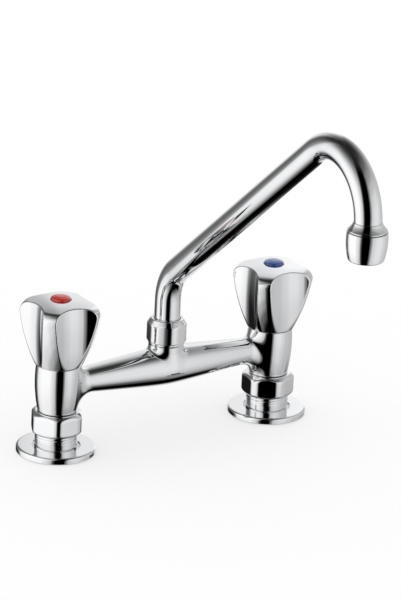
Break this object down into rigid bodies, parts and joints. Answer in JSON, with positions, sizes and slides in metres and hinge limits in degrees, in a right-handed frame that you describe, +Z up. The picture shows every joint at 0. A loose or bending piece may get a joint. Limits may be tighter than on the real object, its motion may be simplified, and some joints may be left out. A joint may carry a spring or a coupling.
{
  "type": "kitchen mixer tap",
  "caption": "Deck-standing kitchen bridge mixer with lobed hot and cold handles, tapering bridge body, hexagon union nuts, rosettes and a swivelling angled tube spout with aerator.",
  "frame": {"origin": "on the worktop plane, midway between the hot and the cold valve axis", "axes": "+X from the hot to the cold valve, -Y towards the user, where the spout points, +Z up"},
  "size_m": [0.1982, 0.2429, 0.2416],
  "materials": {
    "chrome": "mirror-polished chrome plating",
    "brass": "turned brass",
    "steel": "plain stainless steel",
    "rubber": "black rubber",
    "ceramic": "lapped ceramic",
    "nylon": "moulded white plastic",
    "red_plastic": "gloss red plastic",
    "blue_plastic": "gloss blue plastic"
  },
  "bodies": {
    "mixer": {"mixer_body": "chrome", "hot_rosette": "chrome", "hot_pillar": "chrome", "hot_union_gasket": "rubber", "hot_union_nut": "chrome", "hot_retaining_ring": "steel", "hot_seat_seal": "rubber", "hot_fixed_disc": "ceramic", "hot_headwork_bush": "brass", "hot_bush_gasket": "rubber", "cold_rosette": "chrome", "cold_pillar": "chrome", "cold_union_gasket": "rubber", "cold_union_nut": "chrome", "cold_retaining_ring": "steel", "cold_seat_seal": "rubber", "cold_fixed_disc": "ceramic", "cold_headwork_bush": "brass", "cold_bush_gasket": "rubber", "spout_nut": "chrome", "spout_washer": "nylon", "spout_split_ring": "nylon"},
    "hot_valve": {"hot_moving_disc": "ceramic", "hot_spindle": "brass", "hot_spindle_o_rings": "rubber", "hot_spindle_clip": "steel", "hot_handle": "chrome", "hot_handle_screw": "steel", "hot_index_button": "red_plastic"},
    "cold_valve": {"cold_moving_disc": "ceramic", "cold_spindle": "brass", "cold_spindle_o_rings": "rubber", "cold_spindle_clip": "steel", "cold_handle": "chrome", "cold_handle_screw": "steel", "cold_index_button": "blue_plastic"},
    "spout": {"spout_o_rings": "rubber", "spout_spigot": "brass", "spout_tube": "chrome", "spout_outlet": "chrome", "aerator_gasket": "rubber", "aerator_insert": "nylon", "aerator_housing": "chrome"}
  },
  "joints": [
    {"name": "hot_handle_turn", "type": "hinge", "parent": "mixer", "child": "hot_valve", "pos_m": [-0.075, 0, 0.056], "axis": [0, 0, 1], "range_deg": [0, 180]},
    {"name": "cold_handle_turn", "type": "hinge", "parent": "mixer", "child": "cold_valve", "pos_m": [0.075, 0, 0.056], "axis": [0, 0, 1], "range_deg": [0, 180]},
    {"name": "spout_swivel", "type": "hinge", "parent": "mixer", "child": "spout", "pos_m": [0, 0, 0.068], "axis": [0, 0, 1], "continuous": true}
  ]
}
